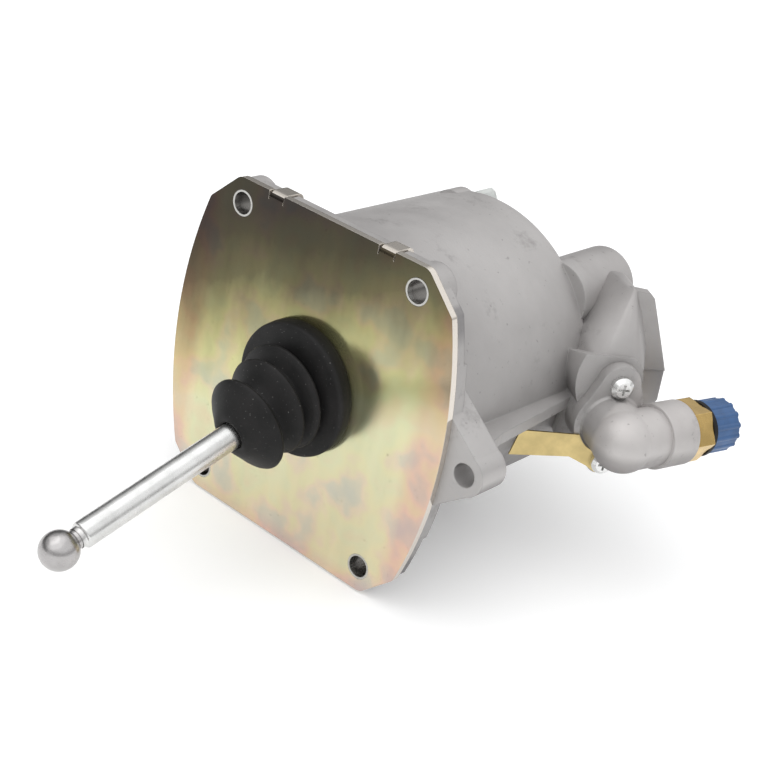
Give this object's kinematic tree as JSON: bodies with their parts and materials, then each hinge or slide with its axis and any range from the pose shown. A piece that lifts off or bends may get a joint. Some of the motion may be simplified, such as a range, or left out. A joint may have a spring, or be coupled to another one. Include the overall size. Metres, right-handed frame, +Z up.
{
  "type": "clutch servo",
  "caption": "Air-assisted clutch servo: flanged cast cylinder with a front plate, rubber boot, drooping ball-ended push rod, control valve, side lug and capped air elbow.",
  "frame": {"origin": "centre of the pattern of mounting holes, on the front face of the mounting plate", "axes": "+Y along the air cylinder, away from the push rod; +Z up; +X towards the side lug and the air elbow"},
  "size_m": [0.1856, 0.2767, 0.1336],
  "materials": {
    "cast_aluminium": "satin, fine cast grain",
    "turned_aluminium": "machined",
    "yellow_zinc": "iridescent yellow zinc plating, semi-gloss",
    "bright_zinc": "bright zinc plating",
    "ground_steel": "ground",
    "spring_steel": "drawn wire",
    "black_rubber": "matte",
    "brass": "machined",
    "cream_plastic": "matte",
    "black_plastic": "matte",
    "blue_plastic": "satin",
    "milky_plastic": "satin, slightly see-through",
    "yellow_strip": "satin"
  },
  "bodies": {
    "servo_body": {"cylinder_housing": "cast_aluminium", "front_plate": "yellow_zinc", "locating_sleeves": "bright_zinc", "rubber_boot": "black_rubber", "preload_spring": "spring_steel", "plunger_seal": "black_rubber", "plunger_guide_bush": "brass", "plunger_circlip": "spring_steel", "valve_seat": "brass", "valve_spring": "spring_steel", "valve_end_plug": "turned_aluminium", "valve_plug_seal": "black_rubber", "valve_circlip": "spring_steel", "exhaust_flap": "black_rubber", "exhaust_shield": "black_plastic", "air_elbow": "cast_aluminium", "elbow_seal": "black_rubber", "elbow_screws": "bright_zinc", "air_connector": "brass", "connector_seal": "black_rubber", "tag_strip": "yellow_strip", "passage_plug": "bright_zinc"},
    "piston_unit": {"air_piston": "turned_aluminium", "piston_lip_seal": "black_rubber", "piston_guide_ring": "cream_plastic", "hydraulic_plunger": "ground_steel", "rod_retainer": "spring_steel"},
    "push_rod": {"push_rod": "bright_zinc"},
    "control_piston": {"control_piston": "ground_steel", "control_piston_seal": "black_rubber"},
    "valve_poppet": {"valve_poppet": "black_rubber"},
    "bleed_screw": {"bleed_screw": "bright_zinc"},
    "bleeder_cap": {"bleeder_cap": "milky_plastic"},
    "port_cap": {"port_cap": "blue_plastic"}
  },
  "joints": [
    {"name": "piston_stroke", "type": "slide", "parent": "servo_body", "child": "piston_unit", "axis": [0, 1, 0], "range_m": [0, 0.05], "deforming": ["rubber_boot", "preload_spring"]},
    {"name": "push_rod_tilt", "type": "hinge", "parent": "piston_unit", "child": "push_rod", "pos_m": [0, 0.006, 0], "axis": [1, 0, 0], "range_deg": [-32.4, 0], "deforming": ["rubber_boot"]},
    {"name": "control_piston_travel", "type": "slide", "parent": "servo_body", "child": "control_piston", "axis": [0, 1, 0], "range_m": [0, 0.0025]},
    {"name": "valve_poppet_lift", "type": "slide", "parent": "servo_body", "child": "valve_poppet", "axis": [0, 1, 0], "range_m": [0, 0.0015], "deforming": ["valve_spring"]},
    {"name": "bleed_screw_turn", "type": "hinge", "parent": "servo_body", "child": "bleed_screw", "pos_m": [0, 0.139, 0], "axis": [-0.5592, 0, 0.829], "range_deg": [0, 180]},
    {"name": "bleeder_cap_pull", "type": "slide", "parent": "bleed_screw", "child": "bleeder_cap", "axis": [-0.5592, 0, 0.829], "range_m": [0, 0.018]},
    {"name": "port_cap_pull", "type": "slide", "parent": "servo_body", "child": "port_cap", "axis": [0.2588, 0.9659, 0], "range_m": [0, 0.02]}
  ],
  "couplings": [
    {"joint": "valve_poppet_lift", "follows": "control_piston_travel", "ratio": 0.6}
  ]
}
